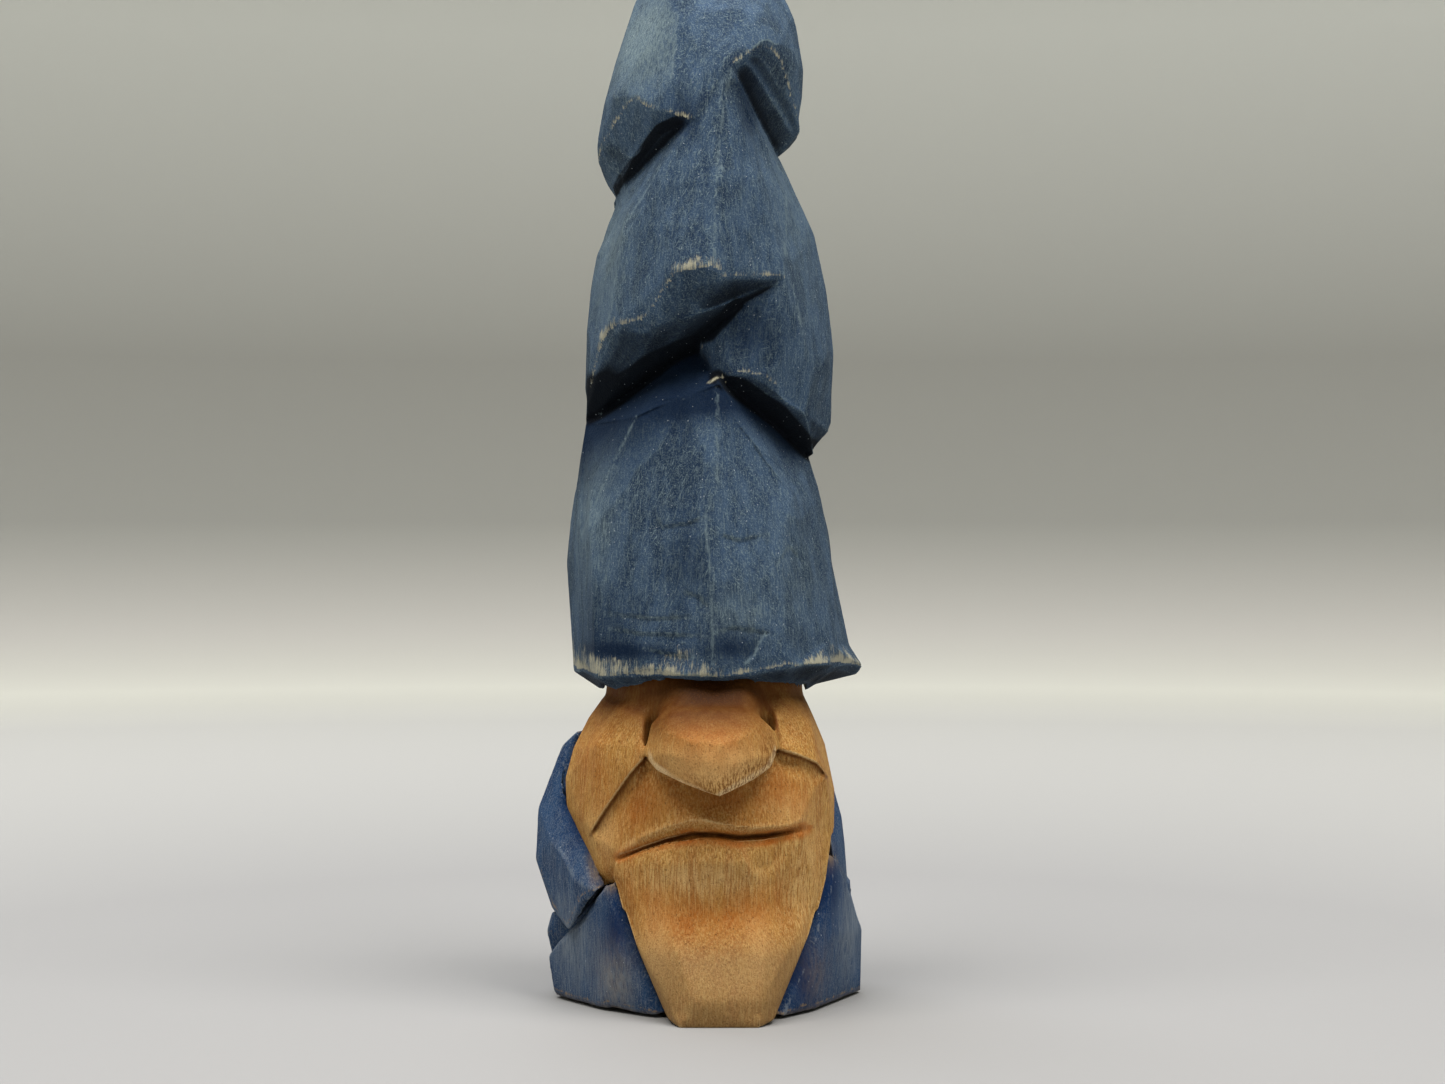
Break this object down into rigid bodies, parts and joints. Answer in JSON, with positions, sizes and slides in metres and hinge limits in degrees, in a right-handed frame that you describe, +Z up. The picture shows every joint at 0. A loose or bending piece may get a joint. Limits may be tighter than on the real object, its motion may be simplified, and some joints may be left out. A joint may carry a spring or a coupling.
{
  "type": "carved wooden gnome figurine",
  "caption": "Small knife-carved wooden gnome in a tall folded blue hat pulled over its eyes, with a long bare-wood face, big nose and a blue coat.",
  "frame": {"origin": "under the middle of the figure's bounding box, on the table", "axes": "+Z up, the figure faces -Y, +X to the viewer's right"},
  "size_m": [0.0326, 0.034, 0.105],
  "materials": {
    "bare_wood": "oiled limewood with an orange wash in the hollows",
    "hat_stain": "limewood stained slate blue, matt, worn pale on the edges",
    "coat_stain": "limewood stained cobalt blue, satin, worn pale at the hem"
  },
  "bodies": {
    "root": {"head": "bare_wood", "hat": "hat_stain", "coat": "coat_stain", "left_sleeve": "coat_stain", "right_sleeve": "coat_stain"}
  },
  "joints": []
}
